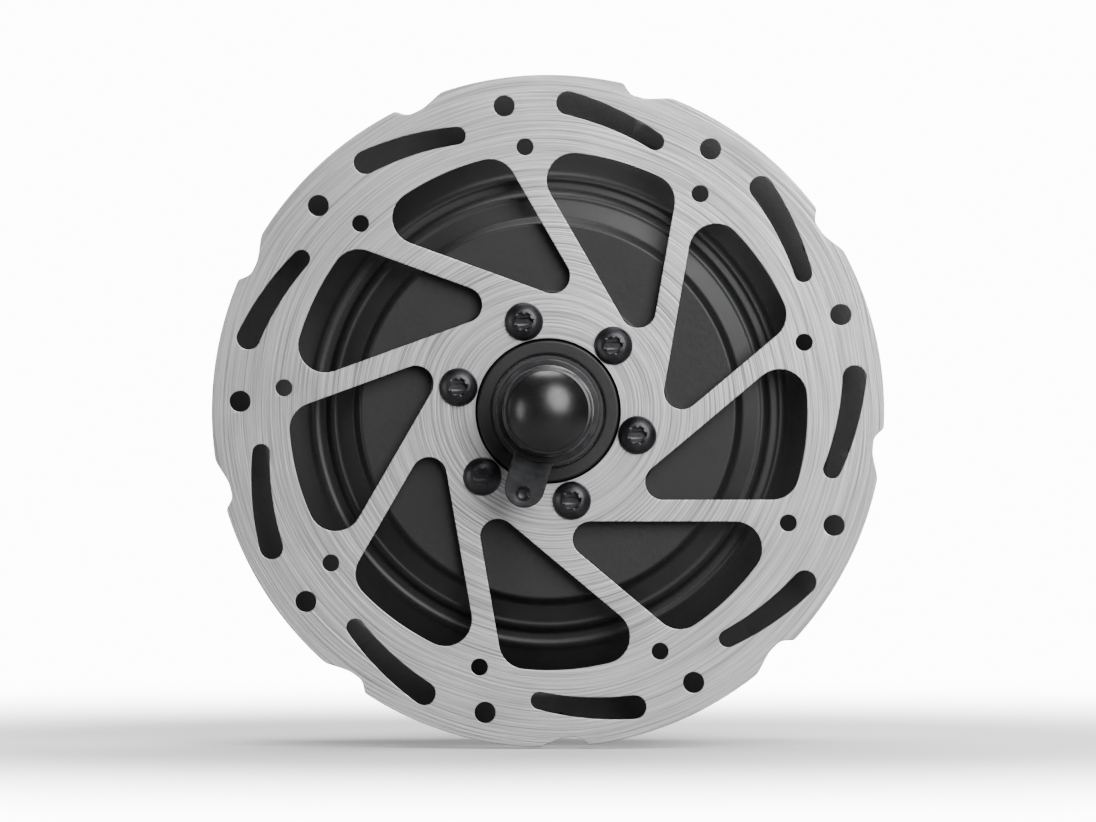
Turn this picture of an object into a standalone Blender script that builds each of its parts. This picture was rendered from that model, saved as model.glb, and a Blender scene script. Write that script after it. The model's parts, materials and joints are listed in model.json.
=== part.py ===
"""Rear geared hub motor for a bicycle: disc brake rotor on the left, seven-speed freewheel on the right.

The axle lies along Y. -Y is the disc side, +Y the drive side, +X the rear of the bicycle and +Z up.
The origin is on the axle's axis, midway between the two locknut faces that the dropouts rest on.
Constants are in millimetres and degrees; MM turns them into metres where a mesh is made.
Angles in the XZ plane run from +X towards +Z.
"""

import math

import bmesh
import bpy
from mathutils import Vector

MM = 0.001
GAP = 0.3
ALONG_AXLE = (math.pi / 2, 0, 0)  # local X stays X, local Y becomes Z, local Z becomes -Y

# Axle and frame fittings
LOCKNUT_FACE_Y = 67.5
LOCKNUT_THICKNESS = 6.5
LOCKNUT_FLATS = 19.0
DROPOUT_ROOM = 7.3
TAB_WASHER_THICKNESS = 2.5
TAB_DIRECTION = 253.0
TAB_WIDTH = 9.4
TAB_REACH = 23.6
TAB_HOLE_AT = 20.4
WASHER_RADIUS = 12.2
WASHER_THICKNESS = 1.5
NUT_FLATS = 17.0
NUT_THICKNESS = 10.0
CAP_RADIUS = 10.75
END_Y = 94.5
AXLE_THREAD_RADIUS = 6.0
AXLE_HALF_FLAT = 5.0
AXLE_BORE_RADIUS = 3.9
AXLE_END_Y = (-89.0, 91.0)
BEARING_SEAT_RADIUS = 8.5
STATOR_SEAT_RADIUS = 12.0

# Disc brake rotor
ROTOR_RADIUS = 80.0
ROTOR_Y = (-54.0, -52.2)
ROTOR_REPEATS = 9
ROTOR_BORE = 17.25
BOLT_CIRCLE = 22.0
BOLT_COUNT = 6
BOLT_START = 45.0
BOLT_HOLE_RADIUS = 2.7
ARM_WIDTH = 5.2
ARM_OFFSET = 23.7
WINDOW_RADIUS = 61.6

# Hub shell
SHELL_RADIUS = 71.0
FLANGE_RADIUS = 77.0
FLANGE_LEFT_Y = (-34.6, -31.6)
FLANGE_RIGHT_Y = (18.0, 21.0)
SPOKE_CIRCLE = 74.4
SPOKES_PER_FLANGE = 18
SPOKE_HOLE_RADIUS = 1.4
SPOKE_STARTS = {"left": 12.0, "right": 2.0}
COVER_RADIUS = 71.6
COVER_ROOM = 0.7
COVER_SEAT_Y = 20.4
SPIGOT_RADIUS = 65.7

# Electric motor
STATOR_RADIUS = 55.0
STATOR_TEETH = 18
STATOR_Y = (-31.0, -11.0)
MAGNET_RADII = (55.8, 58.2)
CUP_RADIUS = 62.1

# Planetary gears: (sun + ring) teeth divide by the number of planets, so that they assemble
GEAR_MODULE = 1.5
SUN_TEETH = 18
PLANET_TEETH = 30
RING_TEETH = 78
PLANETS = 3
BACKLASH = 0.22
PLANET_CIRCLE = GEAR_MODULE * (SUN_TEETH + PLANET_TEETH) / 2
PLANET_START = 90.0
GEAR_Y = (2.8, 12.0)
PIN_RADIUS = 4.0
CARRIER_Y = (12.4, 16.4)

# Freewheel
FREEWHEEL_SHOULDER_Y = 30.5
BOSS_RADIUS = 17.45
COG_TEETH = (28, 24, 22, 20, 18, 16, 14)
COG_FIRST_Y = 33.2
COG_PITCH_Y = 4.95
COG_THICKNESS = 2.0
CHAIN_PITCH = 12.7
CHAIN_ROLLER_RADIUS = 3.95
RATCHET_TEETH = 24
RATCHET_Y = (41.5, 49.5)
PAWL_Y = (42.4, 48.6)
PAWL_PIVOT_RADIUS = 19.8
PAWL_TIP = (8.45, 23.2)
PAWL_STARTS = (90.0, 270.0)
PAWL_TIP_ROOM = 4.2

LOOKS = {
    "ground_steel": ((0.66, 0.66, 0.67), 0.34, 1.0),
    "black_paint": ((0.018, 0.018, 0.02), 0.42, 0.0),
    "dark_steel": ((0.16, 0.16, 0.17), 0.36, 1.0),
    "zinc_steel": ((0.58, 0.58, 0.6), 0.3, 1.0),
    "cog_steel": ((0.33, 0.31, 0.29), 0.38, 1.0),
    "bearing_steel": ((0.6, 0.6, 0.62), 0.18, 1.0),
    "lamination": ((0.24, 0.25, 0.27), 0.45, 1.0),
    "copper": ((0.72, 0.33, 0.15), 0.32, 1.0),
    "magnet": ((0.42, 0.42, 0.43), 0.25, 1.0),
    "nylon": ((0.86, 0.84, 0.76), 0.45, 0.0),
    "cast_aluminium": ((0.6, 0.6, 0.61), 0.5, 1.0),
    "circuit_board": ((0.03, 0.2, 0.08), 0.4, 0.0),
    "rubber": ((0.02, 0.02, 0.02), 0.7, 0.0),
    "gloss_cap": ((0.012, 0.012, 0.013), 0.12, 0.0),
}


def clear_scene():
    for obj in list(bpy.data.objects):
        bpy.data.objects.remove(obj, do_unlink=True)


def collection(name):
    made = bpy.data.collections.new(name)
    bpy.context.scene.collection.children.link(made)
    return made


def paint(obj, look):
    """Gives the object its own Principled material."""
    colour, roughness, metallic = LOOKS[look]
    made = bpy.data.materials.new(obj.name)
    made.use_nodes = True
    shader = made.node_tree.nodes["Principled BSDF"]
    shader.inputs["Base Color"].default_value = (*colour, 1.0)
    shader.inputs["Roughness"].default_value = roughness
    shader.inputs["Metallic"].default_value = metallic
    made.diffuse_color = (*colour, 1.0)
    obj.data.materials.append(made)


def polar(radius, degrees):
    return (radius * math.cos(math.radians(degrees)), radius * math.sin(math.radians(degrees)))


def circle(radius, count, centre=(0.0, 0.0), start=0.0):
    around = [polar(radius, start + 360 * i / count) for i in range(count)]
    return [(x + centre[0], z + centre[1]) for x, z in around]


def turned_to(points, degrees):
    turn = math.radians(degrees)
    return [
        (x * math.cos(turn) - z * math.sin(turn), x * math.sin(turn) + z * math.cos(turn))
        for x, z in points
    ]


def arc(centre, radius, start, end, steps):
    """Points of an arc about centre, both ends included."""
    return [
        (centre[0] + x, centre[1] + z)
        for x, z in (polar(radius, start + (end - start) * i / steps) for i in range(steps + 1))
    ]


def hexagon(across_flats, start=0.0):
    return circle(across_flats / math.sqrt(3), 6, start=start)


def signed_area(points):
    following = points[1:] + points[:1]
    return sum(a[0] * b[1] - b[0] * a[1] for a, b in zip(points, following)) / 2


def turned(name, profile, look, steps=32, group="parts"):
    """Revolves a profile of (radius, y) points round the axle. It is solid where it ends on the axis."""
    ordered = list(profile) if signed_area(profile) > 0 else list(profile)[::-1]
    on_axis = ordered[0][0] == 0 and ordered[-1][0] == 0
    mesh = bpy.data.meshes.new(name)
    edges = [(i, i + 1) for i in range(len(ordered) - 1)]
    if not on_axis:
        edges.append((len(ordered) - 1, 0))
    mesh.from_pydata([(r * MM, 0, -y * MM) for r, y in ordered], edges, [])
    obj = add(name, mesh, look, group)
    obj.rotation_euler = ALONG_AXLE
    screw = obj.modifiers.new("Turn", "SCREW")
    screw.axis = "Z"
    screw.steps = steps
    screw.render_steps = steps
    screw.use_merge_vertices = True
    screw.merge_threshold = 0.00001
    screw.use_smooth_shade = True
    return obj


def ring(name, radii, y_range, look, steps=16):
    """A plain ring of rectangular section."""
    (inner, outer), (low, high) = radii, y_range
    return turned(name, [(inner, low), (outer, low), (outer, high), (inner, high)], look, steps)


def plate(name, loops, y_range, look, centre=(0.0, 0.0), group="parts"):
    """A flat outline with holes, in the XZ plane, extruded along the axle."""
    curve = bpy.data.curves.new(name, "CURVE")
    curve.dimensions = "2D"
    curve.fill_mode = "BOTH"
    curve.extrude = abs(y_range[1] - y_range[0]) / 2 * MM
    for loop in loops:
        spline = curve.splines.new("POLY")
        spline.points.add(len(loop) - 1)
        for point, (x, z) in zip(spline.points, loop):
            point.co = (x * MM, z * MM, 0, 1)
        spline.use_cyclic_u = True
    obj = add(name, curve, look, group)
    obj.rotation_euler = ALONG_AXLE
    obj.location = (centre[0] * MM, sum(y_range) / 2 * MM, centre[1] * MM)
    return obj


def add(name, data, look, group):
    obj = bpy.data.objects.new(name, data)
    GROUPS[group].objects.link(obj)
    if group == "parts":
        paint(obj, look)
    else:
        obj.hide_render = True
        obj.display_type = "WIRE"
    return obj


def as_mesh(obj):
    """A curve made a welded mesh in the same place, because a Boolean takes no curve."""
    bpy.context.view_layer.update()
    evaluated = obj.evaluated_get(bpy.context.evaluated_depsgraph_get())
    mesh = bpy.data.meshes.new_from_object(evaluated)
    welding = bmesh.new()
    welding.from_mesh(mesh)
    bmesh.ops.remove_doubles(welding, verts=welding.verts, dist=0.000001)
    bmesh.ops.recalc_face_normals(welding, faces=welding.faces)
    welding.to_mesh(mesh)
    welding.free()
    made = bpy.data.objects.new(obj.name + "_mesh", mesh)
    for holder in obj.users_collection:
        holder.objects.link(made)
    made.matrix_world = obj.matrix_world
    made.hide_render = obj.hide_render
    made.display_type = obj.display_type
    name = obj.name
    bpy.data.objects.remove(obj, do_unlink=True)
    made.name = name
    return made


def rods(name, centres, radius, y_range, sides, group="cutters"):
    """Cylinders along the axle, all in one object."""
    mesh = bpy.data.meshes.new(name)
    shape = bmesh.new()
    for x, z in centres:
        made = bmesh.ops.create_cone(
            shape,
            cap_ends=True,
            segments=sides,
            radius1=radius * MM,
            radius2=radius * MM,
            depth=abs(y_range[1] - y_range[0]) * MM,
        )
        bmesh.ops.translate(shape, verts=made["verts"], vec=(x * MM, z * MM, 0))
    shape.to_mesh(mesh)
    shape.free()
    obj = add(name, mesh, None, group)
    obj.rotation_euler = ALONG_AXLE
    obj.location = (0, sum(y_range) / 2 * MM, 0)
    return obj


def block(name, size, centre, degrees, group="cutters"):
    """A box of (along, y, across) size, turned by degrees in the XZ plane about the axle."""
    mesh = bpy.data.meshes.new(name)
    shape = bmesh.new()
    bmesh.ops.create_cube(shape, size=1)
    bmesh.ops.scale(shape, vec=[side * MM for side in size], verts=shape.verts)
    bmesh.ops.translate(shape, vec=[place * MM for place in centre], verts=shape.verts)
    shape.to_mesh(mesh)
    shape.free()
    obj = add(name, mesh, None, group)
    obj.rotation_euler = (0, -math.radians(degrees), 0)
    return obj


def boolean(obj, other, operation):
    change = obj.modifiers.new(operation.title() + " " + other.name, "BOOLEAN")
    change.operation = operation
    change.solver = "EXACT"
    change.object = other
    return obj


def cut(obj, cutter):
    return boolean(obj, cutter, "DIFFERENCE")


def join(obj, other):
    return boolean(obj, other, "UNION")


# Disc brake rotor


def rotor_outer_edge():
    """The rim, with a shallow notch at each repeat: gentle on its clockwise side, steep on the other."""
    notch_at, depth = -6.3, 2.2
    points = []
    for i in range(ROTOR_REPEATS):
        turn = 40.0 * i + notch_at
        points += arc((0, 0), ROTOR_RADIUS, turn - 36.7, turn - 5.2, 4)
        points += [polar(ROTOR_RADIUS - depth, turn - 1.3), polar(ROTOR_RADIUS - depth, turn + 1.9)]
    return points


def rotor_window():
    """The opening between two swept arms, for the arm that runs along +X below the axle."""
    low_edge = ARM_OFFSET - ARM_WIDTH / 2
    high_edge = ARM_OFFSET + ARM_WIDTH / 2
    step = 360.0 / ROTOR_REPEATS
    rise = Vector(polar(1, step))
    down = Vector(polar(1, step - 90))
    inner_fillet, outer_fillet = 4.2, 6.4
    # The inner end's round touches both edges, so its centre is its radius away from each.
    z = -low_edge + inner_fillet
    x = (high_edge + inner_fillet - down[1] * z) / down[0]
    points = arc((x, z), inner_fillet, step + 90, 270, 3)
    reach = WINDOW_RADIUS - outer_fillet
    low = Vector((math.sqrt(reach**2 - (low_edge - outer_fillet) ** 2), -low_edge + outer_fillet))
    across = high_edge + outer_fillet
    high = down * across + rise * math.sqrt(reach**2 - across**2)
    low_turn = math.degrees(math.atan2(low[1], low[0]))
    high_turn = math.degrees(math.atan2(high[1], high[0]))
    points += arc(low, outer_fillet, -90, low_turn, 2)
    points += arc((0, 0), WINDOW_RADIUS, low_turn, high_turn, 3)[1:-1]
    points += arc(high, outer_fillet, high_turn, step + 90, 2)
    return points


def rotor_slot():
    """A curved teardrop slot in the braking track, narrow end first, for the small hole at 15 degrees."""
    narrow, wide = (28.3, 68.9, 2.1), (46.3, 73.6, 2.95)
    steps = 3
    middle, halves = [], []
    for i in range(steps + 1):
        turn, radius, half = (a + (b - a) * i / steps for a, b in zip(narrow, wide))
        middle.append(Vector(polar(radius, turn)))
        halves.append(half)
    start = (middle[1] - middle[0]).normalized()
    finish = (middle[-1] - middle[-2]).normalized()
    start_turn = math.degrees(math.atan2(start[1], start[0]))
    finish_turn = math.degrees(math.atan2(finish[1], finish[0]))
    points = arc(middle[0], halves[0], start_turn + 90, start_turn + 270, 3)
    for i in range(1, steps):
        along = (middle[i + 1] - middle[i - 1]).normalized()
        points.append(tuple(middle[i] + Vector((along[1], -along[0])) * halves[i]))
    points += arc(middle[-1], halves[-1], finish_turn - 90, finish_turn + 90, 3)
    for i in range(steps - 1, 0, -1):
        along = (middle[i + 1] - middle[i - 1]).normalized()
        points.append(tuple(middle[i] - Vector((along[1], -along[0])) * halves[i]))
    return points


def make_disc_rotor():
    loops = [rotor_outer_edge(), circle(ROTOR_BORE, 28)]
    for i in range(ROTOR_REPEATS):
        turn = 360.0 * i / ROTOR_REPEATS
        loops.append(turned_to(rotor_window(), turn))
        loops.append(turned_to(rotor_slot(), turn))
        loops.append(circle(2.0, 6, polar(63.0, 15.0 + turn)))
        loops.append(circle(2.5, 6, polar(73.2, 18.2 + turn)))
    for i in range(BOLT_COUNT):
        loops.append(circle(BOLT_HOLE_RADIUS, 8, polar(BOLT_CIRCLE, BOLT_START + 60 * i)))
    plate("disc_rotor", loops, ROTOR_Y, "ground_steel")


def make_rotor_bolts():
    """Button-head bolts: the shank stops short of the threaded hole's floor."""
    shank_end = ROTOR_Y[1] + 8
    head = [(0, -56.9), (2.6, -56.6), (4.3, -55.4), (4.6, -54.3)]
    shank = [(2.4, -54.3), (2.4, shank_end), (0, shank_end)]
    for i in range(BOLT_COUNT):
        bolt = turned("rotor_bolt_%d" % (i + 1), head + shank, "dark_steel", steps=10)
        x, z = polar(BOLT_CIRCLE, BOLT_START + 60 * i)
        bolt.location = (x * MM, 0, z * MM)


# Hub shell and cover


def make_hub_shell():
    """A casting closed on the disc side, with stepped rings, a disc boss and two spoke flanges."""
    outside = [(13.5, -54.2), (16.85, -54.2), (16.85, -51.9), (27.0, -51.9), (28.2, -49.5)]
    outside += [(44.8, -49.5), (46.2, -46.6), (52.0, -44.6), (53.0, -42.6), (58.0, -41.0)]
    outside += [(65.0, -36.0), (66.6, FLANGE_LEFT_Y[0])]
    for low, high in (FLANGE_LEFT_Y, FLANGE_RIGHT_Y):
        outside += [(FLANGE_RADIUS, low), (FLANGE_RADIUS, high)]
        if high < 0:
            outside += [(SHELL_RADIUS, high + 2.0), (SHELL_RADIUS, FLANGE_RIGHT_Y[0] - 2.0)]
    recess = COVER_RADIUS + COVER_ROOM
    inside = [(recess, FLANGE_RIGHT_Y[1]), (recess, COVER_SEAT_Y), (66.5, COVER_SEAT_Y), (66.5, 0.9)]
    inside += [(64.5, 0.9), (64.5, -30.6), (56.0, -38.0)]
    inside += [(43.2, -43.6), (42.6, -46.2), (21.3, -46.2), (21.3, -39.5)]
    inside += [(17.8, -39.5), (17.8, -50.3), (13.5, -50.3)]
    shell = turned("hub_shell", outside + inside, "black_paint", steps=32)
    holes = rods(
        "bolt_holes",
        [polar(BOLT_CIRCLE, BOLT_START + 60 * i) for i in range(BOLT_COUNT)],
        BOLT_HOLE_RADIUS,
        (-53.0, -43.0),
        8,
    )
    cut(shell, holes)
    for side, y_range in (("left", FLANGE_LEFT_Y), ("right", FLANGE_RIGHT_Y)):
        start, step = SPOKE_STARTS[side], 360.0 / SPOKES_PER_FLANGE
        centres = [polar(SPOKE_CIRCLE, start + step * i) for i in range(SPOKES_PER_FLANGE)]
        through = (y_range[0] - 2, y_range[1] + 2)
        cut(shell, rods(side + "_spoke_holes", centres, SPOKE_HOLE_RADIUS, through, 6))


def make_right_cover():
    """The drive-side cover, with the bearing seat and the boss that the freewheel screws onto."""
    seat = COVER_SEAT_Y + GAP
    rim = [(62.0, 13.3), (SPIGOT_RADIUS, 13.3), (SPIGOT_RADIUS, seat), (COVER_RADIUS, seat)]
    shoulder_y = FREEWHEEL_SHOULDER_Y
    face = [(COVER_RADIUS, 24.0), (46.0, 27.2), (25.5, 28.6), (24.0, shoulder_y), (BOSS_RADIUS, shoulder_y)]
    boss = [(BOSS_RADIUS, 41.0), (13.0, 41.0), (13.0, 30.6), (16.3, 30.6), (16.3, 20.7)]
    inside = [(20.4, 20.7), (22.0, 23.8), (60.4, 20.4), (62.0, 18.4)]
    turned("right_cover", rim + face + boss + inside, "black_paint", steps=28)


# Bearings, seals and spacers


def make_bearing(name, y_range, bore, outside, thickness):
    """Two rings; the outer one carries the shields that close the ball race."""
    low, high = y_range
    race = outside - thickness
    shield = bore + thickness + 0.5
    lip = 1.0
    ring(name + "_inner_ring", (bore, bore + thickness), y_range, "bearing_steel")
    profile = [(shield, low), (outside, low), (outside, high), (shield, high)]
    profile += [(shield, high - lip), (race, high - lip), (race, low + lip), (shield, low + lip)]
    turned(name + "_outer_ring", profile, "bearing_steel", steps=16)


def make_bearings():
    make_bearing("left_bearing", (-50.0, -40.0), 8.8, 17.5, 2.4)
    make_bearing("right_bearing", (21.0, 30.3), 7.8, 16.0, 2.2)
    make_bearing("rotor_bearing", (-13.1, -3.1), 8.8, 17.5, 2.4)


def make_seals():
    ring("left_dust_seal", (8.9, 13.2), (-53.9, -50.6), "rubber")
    ring("right_dust_seal", (8.9, 12.7), (37.4, 40.6), "rubber")
    ring("axle_spacer", (6.3, 8.6), (31.5, 60.7), "zinc_steel")


# Axle and its fittings


def make_axle():
    thread, seat = AXLE_THREAD_RADIUS, BEARING_SEAT_RADIUS
    left_end, right_end = AXLE_END_Y
    left = [(0, left_end), (thread - 0.8, left_end), (thread, left_end + 0.8), (thread, -61.0)]
    middle = [(seat, -61.0), (seat, -39.6), (14.0, -39.6), (14.0, -37.2), (STATOR_SEAT_RADIUS, -37.2)]
    inner = [(STATOR_SEAT_RADIUS, -13.5), (seat, -13.5), (seat, 20.6), (7.5, 20.6), (7.5, 31.2)]
    right = [(thread, 31.2), (thread, right_end - 0.8), (thread - 0.8, right_end)]
    bore = [(AXLE_BORE_RADIUS, right_end), (AXLE_BORE_RADIUS, -34.6), (0, -34.6)]
    axle = turned("axle", left + middle + inner + right + bore, "zinc_steel", steps=16)
    for side in (-1, 1):
        end_y = AXLE_END_Y[0] if side < 0 else AXLE_END_Y[1]
        start_y = side * (LOCKNUT_FACE_Y - LOCKNUT_THICKNESS - 0.2)
        length = abs(end_y - start_y) + 2
        middle_y = start_y + side * length / 2
        for flat in (-1, 1):
            name = "axle_flat_%s_%s" % ("left" if side < 0 else "right", "low" if flat < 0 else "high")
            cutter = block(
                name, (20, length, 4), (0, middle_y, flat * (AXLE_HALF_FLAT + 2)), TAB_DIRECTION
            )
            cut(axle, cutter)
    wire_exit = block("wire_exit", (5.4, 5.4, 20), (0, -31.9, 10), 0)
    cut(axle, wire_exit)


def axle_hole():
    """The hole that fits the flattened thread: an arc on each side of two flats."""
    radius, half = AXLE_THREAD_RADIUS + GAP, AXLE_HALF_FLAT + GAP
    swing = math.degrees(math.asin(half / radius))
    one = arc((0, 0), radius, -swing, swing, 6)
    return turned_to(one + turned_to(one, 180), TAB_DIRECTION)


def tab_outline():
    """A round washer with one long tab, whose end is a half circle."""
    half = TAB_WIDTH / 2
    body = 11.2
    swing = math.degrees(math.asin(half / body))
    points = arc((0, 0), body, swing, 360 - swing, 18)
    points += arc((TAB_REACH - half, 0), half, -90, 90, 6)
    return turned_to(points, TAB_DIRECTION)


def make_fittings():
    for side, name in ((-1, "left"), (1, "right")):
        face = side * LOCKNUT_FACE_Y
        inner_face = side * (LOCKNUT_FACE_Y - LOCKNUT_THICKNESS)
        locknut = [hexagon(LOCKNUT_FLATS, 13.0), circle(AXLE_THREAD_RADIUS + GAP, 16)]
        plate(name + "_locknut", locknut, sorted((face, inner_face)), "zinc_steel")
        y = LOCKNUT_FACE_Y + DROPOUT_ROOM
        tab = [tab_outline(), axle_hole(), circle(1.65, 10, polar(TAB_HOLE_AT, TAB_DIRECTION))]
        y_range = sorted((side * y, side * (y + TAB_WASHER_THICKNESS)))
        plate(name + "_tab_washer", tab, y_range, "dark_steel")
        y += TAB_WASHER_THICKNESS + GAP
        bore = AXLE_THREAD_RADIUS + GAP
        y_range = (side * y, side * (y + WASHER_THICKNESS))
        ring(name + "_washer", (bore, WASHER_RADIUS), y_range, "zinc_steel", steps=18)
        y += WASHER_THICKNESS + GAP
        nut = [hexagon(NUT_FLATS, 13.0), circle(bore, 16)]
        plate(name + "_axle_nut", nut, sorted((side * y, side * (y + NUT_THICKNESS))), "zinc_steel")


def make_nut_cap():
    """A domed cap pressed over the disc-side axle nut, open towards the frame."""
    mouth_y, dome_y = -79.4, -85.6
    outer = [(CAP_RADIUS - 0.5, mouth_y), (CAP_RADIUS, mouth_y - 0.7), (CAP_RADIUS, dome_y)]
    rise = END_Y + dome_y
    for i in range(1, 4):
        turn = math.radians(90 * i / 4)
        outer.append((CAP_RADIUS * math.cos(turn), dome_y - rise * math.sin(turn)))
    outer.append((0, -END_Y))
    inner = [(0, -91.6), (5.6, -91.2), (8.6, -89.9), (10.1, -89.7), (10.1, mouth_y)]
    turned("left_nut_cap", outer[::-1] + inner[::-1], "gloss_cap", steps=18)


def make_cable_grommet():
    """The rubber sleeve that the motor cable leaves through, at the end of the hollow axle."""
    hole = 3.2
    outside = [(3.6, 84.0), (3.6, 91.3), (5.6, 91.3), (5.6, 93.3), (4.8, END_Y)]
    turned("cable_grommet", outside + [(hole, END_Y), (hole, 84.0)], "rubber", steps=16)


# Electric motor


def make_stator():
    teeth = []
    for i in range(STATOR_TEETH):
        turn = 360.0 * i / STATOR_TEETH
        teeth += [
            polar(34.0, turn - 5.2),
            polar(51.6, turn - 3.4),
            polar(STATOR_RADIUS, turn - 8.3),
            polar(STATOR_RADIUS, turn + 8.3),
            polar(51.6, turn + 3.4),
            polar(34.0, turn + 5.2),
        ]
    plate("stator_core", [teeth, circle(29.0, 24)], STATOR_Y, "lamination")
    spider = [circle(28.6, 24), circle(STATOR_SEAT_RADIUS + GAP, 16)]
    spider += [circle(4.6, 6, polar(20.6, 30 + 60 * i)) for i in range(6)]
    plate("stator_spider", spider, (-28.6, -14.0), "cast_aluminium")


def winding_ends(name, y_range):
    """The end turns of the coils, one bulge over every tooth."""
    lobes = []
    for i in range(STATOR_TEETH):
        turn = 360.0 * i / STATOR_TEETH
        lobes += [polar(38.0, turn - 10.0), polar(50.8, turn - 6.6), polar(50.8, turn + 6.6)]
    return plate(name, [lobes, circle(34.6, 18)], y_range, "copper")


def make_windings():
    """The disc-side end turns carry the coil sides, which run through the slots to the drive side."""
    left = as_mesh(winding_ends("stator_winding_left", (-36.8, STATOR_Y[0] - GAP)))
    right_y = STATOR_Y[1] + GAP
    winding_ends("stator_winding_right", (right_y, -5.2))
    bars = []
    corners = ((35.6, -3.3), (49.7, -5.4), (49.7, 5.4), (35.6, 3.3))
    for i in range(STATOR_TEETH):
        turn = 360.0 * (i + 0.5) / STATOR_TEETH
        bars.append([polar(radius, turn + swing) for radius, swing in corners])
    slot_y = (STATOR_Y[0] - 2, right_y - GAP)
    join(left, as_mesh(plate("slot_sides", bars, slot_y, None, group="cutters")))


def make_sensor_board():
    inner, outer, start, end = 16.0, 29.6, 205.0, 335.0
    outline = arc((0, 0), outer, start, end, 10) + arc((0, 0), inner, end, start, 8)
    plate("hall_sensor_board", [outline], (-33.4, -31.8), "circuit_board")


def make_motor_rotor():
    """The cup that turns round the stator, with its magnets inside and the sun gear on its end."""
    cup = [(59.1, -31.4), (CUP_RADIUS, -31.4), (CUP_RADIUS, -1.6), (61.5, -1.0), (14.6, -1.0)]
    cup += [(14.6, -2.8), (17.8, -2.8), (17.8, -13.3), (20.8, -13.3), (20.8, -4.0), (59.1, -4.0)]
    turned("rotor_cup", cup, "cast_aluminium", steps=24)
    ring("magnet_ring", MAGNET_RADII, STATOR_Y, "magnet", steps=24)


# Planetary gears


def gear_outline(teeth, inward=False, phase=0.0):
    """Straight-flanked teeth on a pitch circle. Phase is the direction of a tooth's middle, in degrees."""
    pitch = GEAR_MODULE * teeth / 2
    sign = -1 if inward else 1
    tip = pitch + sign * 0.92 * GEAR_MODULE
    root = pitch - sign * 1.2 * GEAR_MODULE
    half = math.pi * GEAR_MODULE / 4 - BACKLASH
    slope = math.tan(math.radians(21))
    tip_half = math.degrees((half - slope * 0.92 * GEAR_MODULE) / tip)
    root_half = math.degrees((half + slope * 1.2 * GEAR_MODULE) / root)
    points = []
    for i in range(teeth):
        turn = phase + 360.0 * i / teeth
        points += [polar(root, turn - root_half), polar(tip, turn - tip_half)]
        points += [polar(tip, turn + tip_half), polar(root, turn + root_half)]
    return points


def make_gears():
    """The sun has a tooth towards the first planet, which has a space there, and the ring a tooth beyond."""
    first = PLANET_START
    bore = circle(9.2, 16)
    teeth = gear_outline(SUN_TEETH, phase=first)
    sun = as_mesh(plate("sun_gear", [teeth, bore], (0.4, 12.0), "zinc_steel"))
    flange = plate("sun_flange", [circle(21.0, 20), bore], (-0.7, 0.7), None, group="cutters")
    join(sun, as_mesh(flange))
    for i in range(PLANETS):
        # A planet turns with its place round the sun, and meshes there too.
        around = 360.0 * i / PLANETS
        facing = first + around + 180
        sun_phase = around * SUN_TEETH / 360.0 % 1
        phase = facing + (0.5 + sun_phase) * 360.0 / PLANET_TEETH
        loops = [gear_outline(PLANET_TEETH, phase=phase), circle(PIN_RADIUS + GAP, 12)]
        centre = polar(PLANET_CIRCLE, first + around)
        plate("planet_gear_%d" % (i + 1), loops, GEAR_Y, "nylon", centre=centre)
    # With 30 teeth, a planet with a space towards the sun has one away from it too, for the ring's tooth.
    outline = [circle(SPIGOT_RADIUS, 32), gear_outline(RING_TEETH, inward=True, phase=first)]
    plate("ring_gear", outline, (1.2, 13.0), "zinc_steel")


def make_carrier():
    pins = [polar(PLANET_CIRCLE, PLANET_START + 360.0 * i / PLANETS) for i in range(PLANETS)]
    posts = [polar(40.0, PLANET_START + 60 + 360.0 * i / PLANETS) for i in range(PLANETS)]
    pin_holes = [circle(PIN_RADIUS + GAP, 12, centre) for centre in pins]
    bore = circle(14.3, 18)
    disc = [circle(46.5, 28), bore] + pin_holes
    carrier = as_mesh(plate("planet_carrier", disc, CARRIER_Y, "dark_steel"))
    hub = plate("carrier_hub", [circle(18.2, 18), bore], (CARRIER_Y[0], 20.3), None, group="cutters")
    join(carrier, as_mesh(hub))
    join(carrier, rods("carrier_posts", posts, 5.0, (2.7, CARRIER_Y[1] - 1), 12))
    front = [circle(46.5, 28), circle(16.6, 18)] + pin_holes
    plate("carrier_front_plate", front, (1.2, 2.4), "dark_steel")
    for i, (x, z) in enumerate(pins):
        pin = turned(
            "planet_pin_%d" % (i + 1),
            [(0, 1.0), (PIN_RADIUS, 1.0), (PIN_RADIUS, 16.8), (0, 16.8)],
            "bearing_steel",
            steps=12,
        )
        pin.location = (x * MM, 0, z * MM)
    race = []
    rollers = 8
    for i in range(rollers):
        turn = 360.0 * i / rollers
        race += arc(polar(10.7, turn), 1.75, turn + 250, turn + 110, 4)
    plate("one_way_clutch", [circle(14.0, 24), race], (12.7, 20.2), "bearing_steel")


# Freewheel


def cog_outline(teeth):
    """Chain teeth: a seat for the roller between two blunt tips."""
    pitch = CHAIN_PITCH / (2 * math.sin(math.pi / teeth))
    seat = pitch - CHAIN_ROLLER_RADIUS
    tip = CHAIN_PITCH / 2 * (0.52 + 1 / math.tan(math.pi / teeth))
    points = []
    for i in range(teeth):
        turn = 360.0 * i / teeth
        step = 360.0 / teeth
        points += [polar(seat, turn - 0.15 * step), polar(seat, turn + 0.15 * step)]
        points.append(polar(tip, turn + 0.5 * step))
    return points


def make_cogs():
    for i, teeth in enumerate(COG_TEETH):
        y = COG_FIRST_Y + COG_PITCH_Y * i
        bore = 27.6 if i < len(COG_TEETH) - 1 else 22.3
        loops = [cog_outline(teeth), circle(bore, 18)]
        y_range = (y - COG_THICKNESS / 2, y + COG_THICKNESS / 2)
        plate("cog_%d_%dt" % (i + 1, teeth), loops, y_range, "cog_steel")


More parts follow.
